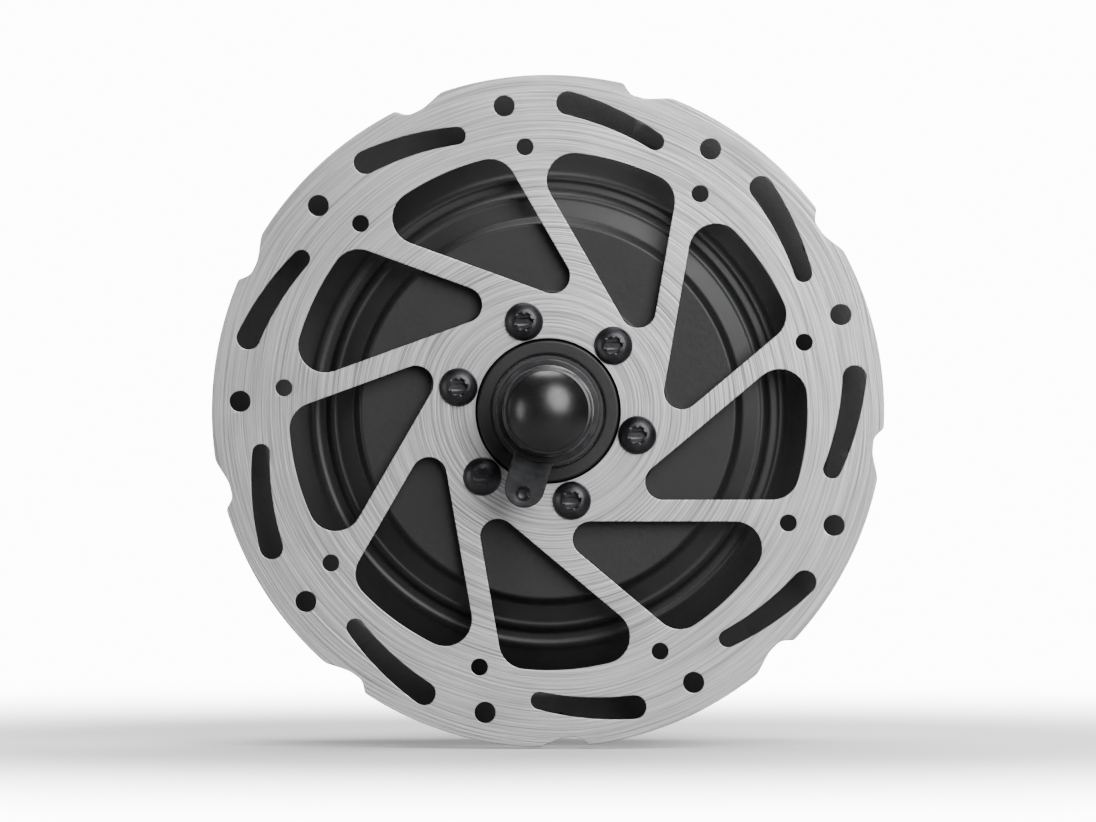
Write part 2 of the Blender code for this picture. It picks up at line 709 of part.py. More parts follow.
def make_freewheel_body():
    inner = [(23.6, 31.0), (23.6, 33.5), (20.6, 34.5), (20.6, 51.5), (16.0, 52.5), (16.0, 61.5)]
    inner += [(12.2, 61.5), (12.2, 41.4), (17.8, 41.4), (17.8, 31.0)]
    body = turned("freewheel_inner_body", inner, "dark_steel", steps=18)
    for i, start in enumerate(PAWL_STARTS):
        pocket_size = (4.6, PAWL_Y[1] - PAWL_Y[0] + 1.2, 14.0)
        middle = (PAWL_PIVOT_RADIUS + 0.2, sum(PAWL_Y) / 2, -4.4)
        cut(body, block("pawl_pocket_%d" % (i + 1), pocket_size, middle, start))
    ring("freewheel_lock_cone", (16.3, 19.3), (53.2, 58.6), "zinc_steel", steps=18)
    low, high = RATCHET_Y
    outer = [(27.3, 31.6), (27.3, 59.4), (22.0, 59.4), (22.0, 64.0), (19.9, 64.0), (19.9, 53.0)]
    outer += [(24.2, 51.0), (24.2, high), (23.2, high), (23.2, low), (24.2, low), (24.2, 31.6)]
    shell = turned("freewheel_shell", outer, "dark_steel", steps=18)
    step = 360.0 / RATCHET_TEETH
    # Each steep face stands a little behind a raised pawl's tip, so that the tip can swing out.
    tip_turn = math.degrees(math.atan2(PAWL_TIP[1], PAWL_TIP[0]))
    star = []
    for i in range(RATCHET_TEETH):
        turn = tip_turn - PAWL_TIP_ROOM + step * i
        star += [polar(22.9, turn), polar(25.7, turn + 0.2), polar(24.6, turn + 0.5 * step)]
    through = (RATCHET_Y[0] - 0.01, RATCHET_Y[1] + 0.01)
    cut(shell, as_mesh(plate("ratchet_space", [star], through, None, group="cutters")))


def make_pawls():
    """Two levers: the heel turns in its pocket, and the tip beside it reaches into the ratchet."""
    x, z = PAWL_TIP[0], PAWL_TIP[1] - PAWL_PIVOT_RADIUS
    heel = arc((0, 0), 1.5, 70, 280, 6)
    nose = [(x - 0.5, z - 2.3), (x + 0.1, z - 0.6), (x - 0.3, z), (x - 1.6, z - 0.3)]
    for i, start in enumerate(PAWL_STARTS):
        pivot = polar(PAWL_PIVOT_RADIUS, start)
        outline = turned_to(heel + nose, start - 90)
        plate("pawl_%d" % (i + 1), [outline], PAWL_Y, "bearing_steel", centre=pivot)


clear_scene()
GROUPS = {"parts": collection("geared_hub_motor"), "cutters": collection("cutters")}
make_disc_rotor()
make_rotor_bolts()
make_hub_shell()
make_right_cover()
make_bearings()
make_seals()
make_axle()
make_fittings()
make_nut_cap()
make_cable_grommet()
make_stator()
make_windings()
make_sensor_board()
make_motor_rotor()
make_gears()
make_carrier()
make_cogs()
make_freewheel_body()
make_pawls()
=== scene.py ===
"""Looks of a geared rear hub motor with a disc brake rotor and a seven-speed freewheel.

The axle lies along Y: -Y is the disc side, +Y the drive side, +Z up. Shapes are worked out in millimetres
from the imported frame's boxes, and MM turns them into metres where a mesh is made.
Angles in the XZ plane run from +X towards +Z.
"""

import json
import math

import bmesh
import bpy
from mathutils import Matrix, Vector


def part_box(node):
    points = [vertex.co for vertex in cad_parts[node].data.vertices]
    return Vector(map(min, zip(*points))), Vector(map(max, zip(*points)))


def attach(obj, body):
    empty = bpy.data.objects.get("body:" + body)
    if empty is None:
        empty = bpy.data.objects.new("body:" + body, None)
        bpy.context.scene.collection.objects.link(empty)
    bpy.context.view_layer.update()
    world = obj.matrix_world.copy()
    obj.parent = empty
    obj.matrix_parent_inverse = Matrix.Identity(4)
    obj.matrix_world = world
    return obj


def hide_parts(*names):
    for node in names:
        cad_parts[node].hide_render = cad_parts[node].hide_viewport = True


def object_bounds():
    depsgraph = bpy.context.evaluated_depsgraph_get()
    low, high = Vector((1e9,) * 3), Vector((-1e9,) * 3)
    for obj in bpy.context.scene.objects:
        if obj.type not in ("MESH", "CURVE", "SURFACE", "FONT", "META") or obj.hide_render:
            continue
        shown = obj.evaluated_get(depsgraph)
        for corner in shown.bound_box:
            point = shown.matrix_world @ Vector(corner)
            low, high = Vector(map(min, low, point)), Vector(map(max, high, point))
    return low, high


MM = 0.001

# Camera: straight at the disc side from far away, as in a catalogue picture
CAMERA_DISTANCE = 2.2
CAMERA_SENSOR = 0.036
FRAME_WIDTH = 0.267

# Studio
FLOOR_GAP = 0.0004
FLOOR_RADIUS = 1.2
FLOOR_FADE = (0.12, 0.5)
FLOOR_GLOW = 0.25
BACKDROP_GLOW = 14.0
ROOM_GLOW = 0.05

# How finely round pieces are made
TURN_STEPS = 192
RING_STEPS = 96
SMALL_STEPS = 48
SMOOTH_ANGLE = math.radians(32)

# Disc brake rotor
ROTOR_REPEATS = 9
ROTOR_EDGE = 0.16
ARM_WIDTH = 5.2
ARM_OFFSET = 23.7
WINDOW_RADIUS = 61.6
BOLT_CIRCLE = 22.0
BOLT_START = 45.0
BOLT_COUNT = 6
BOLT_HOLE_RADIUS = 2.7

# Spoke flanges
SPOKE_CIRCLE = 74.4
SPOKES_PER_FLANGE = 18
SPOKE_HOLE_RADIUS = 1.4
SPOKE_STARTS = {"left": 12.0, "right": 2.0}

# Fittings on the axle
TAB_DIRECTION = 253.0
TAB_HOLE_AT = 20.4
HEX_START = 13.0
LOCKNUT_FLATS = 19.0
AXLE_NUT_FLATS = 17.0
THREAD_PITCH = 1.25
THREAD_DEPTH = 0.62
FLAT_HALF = 5.0
THREAD_HOLE_RADIUS = 6.3

# Cover screws
COVER_SCREWS = 8
COVER_SCREW_CIRCLE = 68.7

# Freewheel
COG_TEETH = (28, 24, 22, 20, 18, 16, 14)
CHAIN_PITCH = 12.7
ROLLER_SEAT = 3.98
RATCHET_TEETH = 24
RATCHET_START = 65.8
PAWL_STARTS = (90.0, 270.0)
POCKET_ROOM = 0.6


# Shapes


def polar(radius, degrees):
    turn = math.radians(degrees)
    return (radius * math.cos(turn), radius * math.sin(turn))


def arc(centre, radius, start, end, steps):
    """Points of an arc about centre, both ends included."""
    points = [polar(radius, start + (end - start) * i / steps) for i in range(steps + 1)]
    return [(centre[0] + x, centre[1] + z) for x, z in points]


def circle(radius, count, centre=(0.0, 0.0), start=0.0):
    return arc(centre, radius, start, start + 360.0, count)[:-1]


def turned_to(points, degrees):
    cosine, sine = polar(1, degrees)
    return [(x * cosine - z * sine, x * sine + z * cosine) for x, z in points]


def rounded(points, radius, steps=4, closed=True):
    """The outline with each corner eased over that length, or half its shorter side where that is less."""
    eased = []
    count = len(points)
    for i, point in enumerate(points):
        corner = Vector(point)
        if not closed and i in (0, count - 1):
            eased.append(tuple(corner))
            continue
        before = Vector(points[i - 1]) - corner
        after = Vector(points[(i + 1) % count]) - corner
        if before.length == 0 or after.length == 0 or before.angle(after) > math.radians(172):
            eased.append(tuple(corner))
            continue
        reach = min(radius, 0.48 * before.length, 0.48 * after.length)
        first = corner + before.normalized() * reach
        last = corner + after.normalized() * reach
        for k in range(steps + 1):
            part = k / steps
            eased.append(tuple(first * (1 - part) ** 2 + corner * 2 * part * (1 - part) + last * part**2))
    return eased


def finished(name, shape):
    """A bmesh in millimetres made an object in metres, smooth but for its sharp edges."""
    bmesh.ops.remove_doubles(shape, verts=shape.verts, dist=0.001)
    bmesh.ops.recalc_face_normals(shape, faces=shape.faces)
    bmesh.ops.scale(shape, vec=(MM, MM, MM), verts=shape.verts)
    mesh = bpy.data.meshes.new(name)
    shape.to_mesh(mesh)
    shape.free()
    return added(name, mesh)


def added(name, mesh):
    obj = bpy.data.objects.new(name, mesh)
    bpy.context.scene.collection.objects.link(obj)
    return smoothed(obj)


def smoothed(obj):
    """Smooth but for sharp edges, with its shading weighted so that flat faces look flat."""
    obj.data.shade_smooth()
    obj.data.set_sharp_from_angle(angle=SMOOTH_ANGLE)
    weighted = obj.modifiers.new("Weighted normals", "WEIGHTED_NORMAL")
    weighted.mode = "FACE_AREA"
    weighted.weight = 100
    weighted.keep_sharp = True
    return obj


def grid(name, rings, closed):
    """Rings of (x, y, z) points joined one to the next. A ring of one point closes to it."""
    shape = bmesh.new()
    made = [[shape.verts.new(point) for point in ring] for ring in rings]
    pairs = list(zip(made, made[1:] + (made[:1] if closed else [])))
    for low, high in pairs if closed else pairs[: len(made) - 1]:
        for i in range(max(len(low), len(high))):
            after = i + 1
            corners = [low[i % len(low)], low[after % len(low)], high[after % len(high)], high[i % len(high)]]
            unique = list(dict.fromkeys(corners))
            if len(unique) > 2:
                shape.faces.new(unique)
    return finished(name, shape)


def turned(name, profile, steps=TURN_STEPS, centre=(0.0, 0.0), ease=0.35):
    """Revolves a profile of (radius, y) points round a line along Y. One that ends on that line is solid."""
    solid = profile[0][0] == 0 and profile[-1][0] == 0
    line = rounded(profile, ease, closed=not solid)
    rings = []
    for radius, y in line:
        if radius < 0.0001:
            rings.append([(centre[0], y, centre[1])])
            continue
        rings.append([(centre[0] + x, y, centre[1] + z) for x, z in circle(radius, steps)])
    return grid(name, rings, closed=not solid)


def plate(name, loops, y_range, edge=0.12, edge_steps=2):
    """A flat outline with holes in the XZ plane, as thick as y_range, its edges eased by edge."""
    low, high = sorted(y_range)
    curve = bpy.data.curves.new(name, "CURVE")
    curve.dimensions = "2D"
    curve.fill_mode = "BOTH"
    curve.extrude = ((high - low) / 2 - edge) * MM
    curve.bevel_depth = edge * MM
    curve.bevel_resolution = edge_steps
    curve.offset = -edge * MM
    for loop in loops:
        spline = curve.splines.new("POLY")
        spline.points.add(len(loop) - 1)
        for point, (x, z) in zip(spline.points, loop):
            point.co = (x * MM, z * MM, 0, 1)
        spline.use_cyclic_u = True
    flat = bpy.data.objects.new(name + "_outline", curve)
    bpy.context.scene.collection.objects.link(flat)
    bpy.context.view_layer.update()
    mesh = bpy.data.meshes.new_from_object(flat.evaluated_get(bpy.context.evaluated_depsgraph_get()))
    bpy.data.objects.remove(flat, do_unlink=True)
    bpy.data.curves.remove(curve)
    mesh.name = name
    mesh.transform(Matrix.Translation((0, (low + high) / 2 * MM, 0)) @ Matrix.Rotation(math.pi / 2, 4, "X"))
    welding = bmesh.new()
    welding.from_mesh(mesh)
    bmesh.ops.remove_doubles(welding, verts=welding.verts, dist=0.000001)
    bmesh.ops.recalc_face_normals(welding, faces=welding.faces)
    welding.to_mesh(mesh)
    welding.free()
    mesh.materials.clear()
    return added(name, mesh)


def combined(obj, other, operation):
    """obj cut by, or kept inside, the other shape, which is then removed."""
    obj.modifiers.clear()
    change = obj.modifiers.new(operation, "BOOLEAN")
    change.operation = operation
    change.solver = "EXACT"
    change.object = other
    bpy.context.view_layer.update()
    evaluated = obj.evaluated_get(bpy.context.evaluated_depsgraph_get())
    mesh = bpy.data.meshes.new_from_object(evaluated)
    obj.modifiers.clear()
    obj.data = mesh
    bpy.data.objects.remove(other, do_unlink=True)
    return smoothed(obj)


def joined(name, parts):
    """Several meshes in one."""
    shape = bmesh.new()
    for part in parts:
        shape.from_mesh(part.data)
        bpy.data.objects.remove(part, do_unlink=True)
    mesh = bpy.data.meshes.new(name)
    shape.to_mesh(mesh)
    shape.free()
    return added(name, mesh)


def y_of(node):
    """A node's lowest and highest y, in millimetres."""
    low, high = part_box(node)
    return (low.y / MM, high.y / MM)


def radius_of(node):
    low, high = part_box(node)
    return (high.x - low.x) / 2 / MM


def middle_of(node):
    low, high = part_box(node)
    return ((low.x + high.x) / 2 / MM, (low.z + high.z) / 2 / MM)


# Materials


def new_look(name, colour, roughness, metallic=0.0, sockets=None):
    look = bpy.data.materials.new(name)
    look.use_nodes = True
    shader = look.node_tree.nodes["Principled BSDF"]
    shader.inputs["Base Color"].default_value = (*colour, 1.0)
    shader.inputs["Roughness"].default_value = roughness
    shader.inputs["Metallic"].default_value = metallic
    for socket, value in (sockets or {}).items():
        shader.inputs[socket].default_value = value
    look.diffuse_color = (*colour, 1.0)
    return look


def step(look, kind, values=None, **settings):
    """A new node. Each value is a number, a vector, or another node's output to link."""
    made = look.node_tree.nodes.new("ShaderNode" + kind)
    for setting, value in settings.items():
        setattr(made, setting, value)
    for socket, value in (values or {}).items():
        if isinstance(value, bpy.types.NodeSocket):
            look.node_tree.links.new(value, made.inputs[socket])
        else:
            made.inputs[socket].default_value = value
    return made


def sums(look, operation, first, second=0.0):
    return step(look, "Math", {0: first, 1: second}, operation=operation).outputs[0]


def place(look, scale=(1.0, 1.0, 1.0)):
    """Where a point is on the resting piece, in millimetres, times scale."""
    spot = step(look, "TexCoord").outputs["Object"]
    return step(look, "Mapping", {"Vector": spot, "Scale": [side / MM for side in scale]}).outputs[0]


def distance_from_axle(look):
    flat = place(look, (1.0, 0.0, 1.0))
    return step(look, "VectorMath", {0: flat}, operation="LENGTH").outputs["Value"]


def noise(look, vector, scale, detail=3.0, rough=0.55):
    values = {"Vector": vector, "Scale": scale, "Detail": detail, "Roughness": rough}
    return step(look, "TexNoise", values).outputs[0]


def spread(look, value, low, high, from_low=0.0, from_high=1.0):
    """The value moved from one range to another, and kept inside it."""
    values = {0: value, 1: from_low, 2: from_high, 3: low, 4: high}
    return step(look, "MapRange", values).outputs[0]


def between(look, factor, dark, light):
    """A colour from dark to light as the factor goes from 0 to 1."""
    colours = {0: factor, 6: (*dark, 1.0), 7: (*light, 1.0)}
    return step(look, "Mix", colours, data_type="RGBA").outputs[2]


def drive(look, socket, output):
    shader = look.node_tree.nodes["Principled BSDF"]
    look.node_tree.links.new(output, shader.inputs[socket])


def raise_surface(look, *heights):
    """Bumps laid on each other. Each is (height, size in millimetres)."""
    normal = None
    for height, size in heights:
        values = {"Height": height, "Distance": size * MM, "Strength": 1.0}
        if normal is not None:
            values["Normal"] = normal
        normal = step(look, "Bump", values).outputs[0]
    drive(look, "Normal", normal)


def ring_lines(look, spacing, wander, run):
    """Fine irregular arcs about the axle: the gap between them, how far they stray, and their run in mm."""
    flat = place(look, (1.0, 0.0, 1.0))
    stray = spread(look, noise(look, flat, 0.018, 1.0), -wander, wander, 0.25, 0.75)
    radius = sums(look, "ADD", distance_from_axle(look), stray)
    across = sums(look, "MULTIPLY", radius, 1.0 / spacing)
    along = step(look, "SeparateXYZ", {0: place(look, (1 / run, 1.0, 1 / run))})
    spot = step(look, "CombineXYZ", {0: across, 1: along.outputs[0], 2: along.outputs[2]}).outputs[0]
    return noise(look, spot, 1.0, 3.0, 0.6)


def ground_steel():
    """The rotor: stainless steel with coarse grinding arcs, which stand out more on the arms."""
    look = new_look("ground_steel_look", (0.6, 0.6, 0.61), 0.4, 1.0)
    lines = ring_lines(look, 0.45, 1.2, 36.0)
    radius = distance_from_axle(look)
    on_arm = sums(look, "MULTIPLY", spread(look, radius, 0, 1, 26, 30), spread(look, radius, 1, 0, 57, 63))
    sharp = spread(look, lines, -1.0, 1.0, 0.34, 0.66)
    strength = spread(look, on_arm, 0.75, 1.0)
    swing = sums(look, "MULTIPLY", sharp, strength)
    cloud = noise(look, place(look), 0.06, 2.0)
    shade = sums(look, "ADD", spread(look, swing, 0.0, 1.0, -1.0, 1.0), spread(look, cloud, -0.12, 0.12))
    drive(look, "Base Color", between(look, shade, (0.22, 0.22, 0.224), (0.78, 0.78, 0.785)))
    drive(look, "Roughness", spread(look, shade, 0.46, 0.34))
    fine = noise(look, place(look), 9.0, 2.0)
    raise_surface(look, (lines, 0.05), (fine, 0.004))
    return look


def satin_black():
    """Powder paint on the hub: fine grain, and a faint unevenness in its sheen."""
    look = new_look("satin_black_look", (0.009, 0.009, 0.01), 0.42, 0.0, {"Specular IOR Level": 0.44})
    cloud = noise(look, place(look), 0.09, 3.0)
    grain = noise(look, place(look), 4.5, 2.0)
    drive(look, "Base Color", between(look, cloud, (0.004, 0.004, 0.0045), (0.008, 0.008, 0.009)))
    speck = sums(look, "MULTIPLY", grain, 0.12)
    drive(look, "Roughness", sums(look, "ADD", spread(look, cloud, 0.37, 0.46), speck))
    raise_surface(look, (grain, 0.02), (noise(look, place(look), 0.8, 2.0), 0.02))
    return look


def gloss_black():
    """Moulded cap: glossy black plastic with a trace of orange peel and handling marks."""
    look = new_look("gloss_black_look", (0.006, 0.006, 0.0065), 0.28, 0.0, {"Specular IOR Level": 0.62})
    marks = noise(look, place(look, (0.4, 1.0, 1.6)), 1.6, 4.0)
    drive(look, "Roughness", spread(look, marks, 0.3, 0.38, 0.35, 0.7))
    drive(look, "Base Color", between(look, marks, (0.004, 0.004, 0.0045), (0.007, 0.007, 0.0075)))
    raise_surface(look, (noise(look, place(look), 0.5, 1.0), 0.012))
    return look


def plated_steel(name, dark, light, smooth, dull, marks=0.5):
    """Turned and plated steel: cloudy plating over fine turning marks."""
    look = new_look(name, light, smooth, 1.0)
    cloud = noise(look, place(look), 0.22, 4.0)
    lines = ring_lines(look, marks, 0.15, 12.0)
    mixed = sums(look, "ADD", sums(look, "MULTIPLY", cloud, 0.7), sums(look, "MULTIPLY", lines, 0.3))
    drive(look, "Base Color", between(look, spread(look, mixed, 0, 1, 0.3, 0.7), dark, light))
    drive(look, "Roughness", spread(look, cloud, smooth, dull, 0.3, 0.7))
    raise_surface(look, (lines, 0.012), (noise(look, place(look), 2.2, 2.0), 0.006))
    return look


def rubber():
    look = new_look("rubber_look", (0.018, 0.018, 0.018), 0.7)
    grain = noise(look, place(look), 3.0, 3.0)
    drive(look, "Base Color", between(look, grain, (0.013, 0.013, 0.013), (0.026, 0.026, 0.025)))
    drive(look, "Roughness", spread(look, grain, 0.6, 0.8))
    raise_surface(look, (grain, 0.03))
    return look


def moulded(name, dark, light, dull):
    """Moulded plastic with a fine spark-eroded texture."""
    look = new_look(name, light, dull)
    grain = noise(look, place(look), 5.0, 2.0)
    cloud = noise(look, place(look), 0.15, 2.0)
    drive(look, "Base Color", between(look, cloud, dark, light))
    drive(look, "Roughness", spread(look, grain, dull - 0.05, dull + 0.1))
    raise_surface(look, (grain, 0.012))
    return look


def cast_aluminium():
    look = new_look("cast_aluminium_look", (0.58, 0.58, 0.6), 0.5, 1.0)
    cells = step(look, "TexVoronoi", {"Vector": place(look), "Scale": 1.1}).outputs["Distance"]
    cloud = noise(look, place(look), 0.3, 4.0)
    drive(look, "Base Color", between(look, cloud, (0.42, 0.42, 0.43), (0.66, 0.66, 0.67)))
    drive(look, "Roughness", spread(look, cloud, 0.42, 0.6))
    raise_surface(look, (cells, 0.04), (cloud, 0.05))
    return look


def lamination():
    """Stacked sheets of electrical steel, half a millimetre each."""
    look = new_look("lamination_look", (0.25, 0.26, 0.28), 0.45, 1.0)
    height = step(look, "SeparateXYZ", {0: place(look)}).outputs[1]
    sheets = sums(look, "ABSOLUTE", sums(look, "SINE", sums(look, "MULTIPLY", height, 2 * math.pi)))
    cloud = noise(look, place(look), 0.3, 4.0)
    tone = sums(look, "MULTIPLY", sheets, cloud)
    drive(look, "Base Color", between(look, tone, (0.1, 0.1, 0.11), (0.4, 0.41, 0.44)))
    drive(look, "Roughness", spread(look, cloud, 0.38, 0.55))
    raise_surface(look, (sheets, 0.06))
    return look


def copper_wire():
    """Enamelled wire wound side by side."""
    look = new_look("copper_wire_look", (0.72, 0.3, 0.12), 0.3, 1.0)
    waves = {"Vector": place(look), "Scale": 0.42, "Distortion": 1.4, "Detail": 2.0}
    wires = step(look, "TexWave", waves, wave_type="RINGS", rings_direction="Y").outputs["Fac"]
    drive(look, "Base Color", between(look, wires, (0.3, 0.1, 0.035), (0.78, 0.34, 0.14)))
    drive(look, "Roughness", spread(look, wires, 0.45, 0.25))
    raise_surface(look, (wires, 0.25))
    return look


def magnet():
    look = new_look("magnet_look", (0.45, 0.45, 0.46), 0.24, 1.0)
    cloud = noise(look, place(look), 0.7, 4.0)
    drive(look, "Base Color", between(look, cloud, (0.34, 0.34, 0.35), (0.52, 0.52, 0.54)))
    drive(look, "Roughness", spread(look, cloud, 0.18, 0.34))
    raise_surface(look, (cloud, 0.01))
    return look


def circuit_board():
    look = new_look("circuit_board_look", (0.02, 0.16, 0.06), 0.4, 0.0, {"Coat Weight": 0.4})
    tracks = {"Vector": place(look), "Scale": 0.35}
    cells = step(look, "TexVoronoi", tracks, distance="CHEBYCHEV").outputs["Distance"]
    tone = spread(look, cells, 0, 1, 0.45, 0.5)
    drive(look, "Base Color", between(look, tone, (0.012, 0.1, 0.04), (0.03, 0.2, 0.08)))
    raise_surface(look, (cells, 0.02))
    return look


LOOKS = {
    "ground_steel": ground_steel(),
    "black_paint": satin_black(),
    "dark_steel": plated_steel("black_oxide_look", (0.028, 0.028, 0.031), (0.07, 0.07, 0.074), 0.34, 0.5),
    "zinc_steel": plated_steel("zinc_look", (0.42, 0.42, 0.44), (0.64, 0.64, 0.65), 0.24, 0.4),
    "cog_steel": plated_steel("cog_steel_look", (0.15, 0.14, 0.13), (0.3, 0.285, 0.265), 0.32, 0.5, 0.8),
    "bearing_steel": plated_steel(
        "bearing_steel_look", (0.5, 0.5, 0.52), (0.66, 0.66, 0.68), 0.16, 0.26, 0.3
    ),
    "lamination": lamination(),
    "copper": copper_wire(),
    "magnet": magnet(),
    "nylon": moulded("nylon_look", (0.78, 0.75, 0.64), (0.88, 0.86, 0.78), 0.42),
    "cast_aluminium": cast_aluminium(),
    "circuit_board": circuit_board(),
    "rubber": rubber(),
    "gloss_cap": gloss_black(),
    "spacer_plastic": moulded("spacer_plastic_look", (0.018, 0.018, 0.018), (0.03, 0.03, 0.031), 0.45),
}


def fit(piece, body, slot, nodes=(), look=None):
    """Gives a new piece the look of its slot, or the look named instead, lets it ride on its body and hides
    the nodes it stands for.
    """
    piece.data.materials.clear()
    piece.data.materials.append(LOOKS[look or slot])
    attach(piece, body)
    if nodes:
        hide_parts(*nodes)
    return piece


# Disc brake rotor


def rotor_outer_edge(radius):
    """The rim, with a shallow saw-tooth notch at each repeat, gentle on its clockwise side."""
    notch_at, depth = -6.3, 2.2
    step_turn = 360.0 / ROTOR_REPEATS
    points = []
    for i in range(ROTOR_REPEATS):
        turn = step_turn * i + notch_at
        points += arc((0, 0), radius, turn - step_turn + 3.3, turn - 5.2, 24)
        fall = [polar(radius - depth * part, turn - 5.2 + 3.9 * part) for part in (0.35, 0.7)]
        points += fall + [polar(radius - depth, turn - 1.0), polar(radius - depth, turn + 1.6)]
        points.append(polar(radius - 0.4 * depth, turn + 2.7))
    return rounded(points, 1.2, 3)


def rotor_window():
    """The opening between two swept arms, for the arm that runs along +X below the axle."""
    low_edge = ARM_OFFSET - ARM_WIDTH / 2
    high_edge = ARM_OFFSET + ARM_WIDTH / 2
    turn = 360.0 / ROTOR_REPEATS
    rise = Vector(polar(1, turn))
    down = Vector(polar(1, turn - 90))
    inner_fillet, outer_fillet = 4.2, 6.4
    # The inner end's round touches both edges, so its centre is its radius away from each.
    z = -low_edge + inner_fillet
    x = (high_edge + inner_fillet - down[1] * z) / down[0]
    points = arc((x, z), inner_fillet, turn + 90, 270, 14)
    reach = WINDOW_RADIUS - outer_fillet
    low = Vector((math.sqrt(reach**2 - (low_edge - outer_fillet) ** 2), -low_edge + outer_fillet))
    across = high_edge + outer_fillet
    high = down * across + rise * math.sqrt(reach**2 - across**2)
    low_turn = math.degrees(math.atan2(low[1], low[0]))
    high_turn = math.degrees(math.atan2(high[1], high[0]))
    points += arc(low, outer_fillet, -90, low_turn, 10)
    points += arc((0, 0), WINDOW_RADIUS, low_turn, high_turn, 12)[1:-1]
    points += arc(high, outer_fillet, high_turn, turn + 90, 10)
    return points


def rotor_slot():
    """A curved teardrop slot in the braking track, narrow end first, for the small hole at 15 degrees."""
    narrow, wide = (28.3, 68.9, 2.1), (46.3, 73.3, 2.8)
    steps = 12
    middle, halves = [], []
    for i in range(steps + 1):
        turn, radius, half = (a + (b - a) * i / steps for a, b in zip(narrow, wide))
        middle.append(Vector(polar(radius, turn)))
        halves.append(half)
    sides = []
    for i in range(steps + 1):
        along = (middle[min(i + 1, steps)] - middle[max(i - 1, 0)]).normalized()
        sides.append(Vector((along[1], -along[0])) * halves[i])
    start_turn = math.degrees(math.atan2(-sides[0][1], -sides[0][0]))
    end_turn = math.degrees(math.atan2(sides[-1][1], sides[-1][0]))
    points = arc(middle[0], halves[0], start_turn, start_turn + 180, 9)
    points += [tuple(middle[i] + sides[i]) for i in range(1, steps)]
    points += arc(middle[-1], halves[-1], end_turn, end_turn + 180, 9)
    points += [tuple(middle[i] - sides[i]) for i in range(steps - 1, 0, -1)]
    return points


def make_rotor():
    bore = 17.25
    loops = [rotor_outer_edge(radius_of("disc_rotor")), circle(bore, 120)]
    for i in range(ROTOR_REPEATS):
        turn = 360.0 * i / ROTOR_REPEATS
        loops.append(turned_to(rotor_window(), turn))
        loops.append(turned_to(rotor_slot(), turn))
        loops.append(circle(2.0, 28, polar(63.0, 15.0 + turn)))
        loops.append(circle(2.5, 32, polar(73.2, 18.2 + turn)))
    for i in range(BOLT_COUNT):
        centre = polar(BOLT_CIRCLE, BOLT_START + 360.0 * i / BOLT_COUNT)
        loops.append(circle(BOLT_HOLE_RADIUS, 28, centre))
    disc = plate("brake_rotor_disc", loops, y_of("disc_rotor"), ROTOR_EDGE, 2)
    fit(disc, "hub", "ground_steel", ["disc_rotor"])


def star(radius, centre, lobes=6, depth=0.22, steps=8):
    """A six-lobed drive socket's outline."""
    points = []
    for i in range(lobes * steps):
        turn = 360.0 * i / (lobes * steps)
        points.append(polar(radius * (1 - depth * (0.5 - 0.5 * math.cos(math.radians(lobes * turn)))), turn))
    return [(centre[0] + x, centre[1] + z) for x, z in points]


def make_rotor_bolts():
    """Button heads with a six-lobed socket."""
    for i in range(BOLT_COUNT):
        node = "rotor_bolt_%d" % (i + 1)
        front, back = y_of(node)
        centre = middle_of(node)
        seat = front + 2.6
        dome = [(0, front), (1.6, front + 0.06), (2.9, front + 0.36), (3.9, front + 1.0), (4.4, front + 1.7)]
        shank = [(4.6, seat - 0.2), (4.5, seat), (2.4, seat), (2.4, back), (0, back)]
        bolt = turned(node + "_torx", dome + shank, SMALL_STEPS, centre, 0.3)
        socket = plate("socket", [star(2.25, centre)], (front - 1, front + 1.7), 0.01, 0)
        combined(bolt, socket, "DIFFERENCE")
        fit(bolt, "hub", "dark_steel", [node])


# Hub shell and cover


def spoke_cutter(y_range, start):
    """Spoke holes with a countersink on each face, all in one shape."""
    low, high = y_range
    hole, mouth, reach = SPOKE_HOLE_RADIUS, SPOKE_HOLE_RADIUS + 0.75, 1.0
    profile = [(0, low - reach), (mouth + 0.3, low - reach), (mouth, low - 0.02), (hole, low + 0.75)]
    profile += [(hole, high - 0.75), (mouth, high + 0.02), (mouth + 0.3, high + reach), (0, high + reach)]
    holes = []
    for i in range(SPOKES_PER_FLANGE):
        centre = polar(SPOKE_CIRCLE, start + 360.0 * i / SPOKES_PER_FLANGE)
        holes.append(turned("spoke_hole", profile, 20, centre, 0.0))
    return joined("spoke_holes", holes)


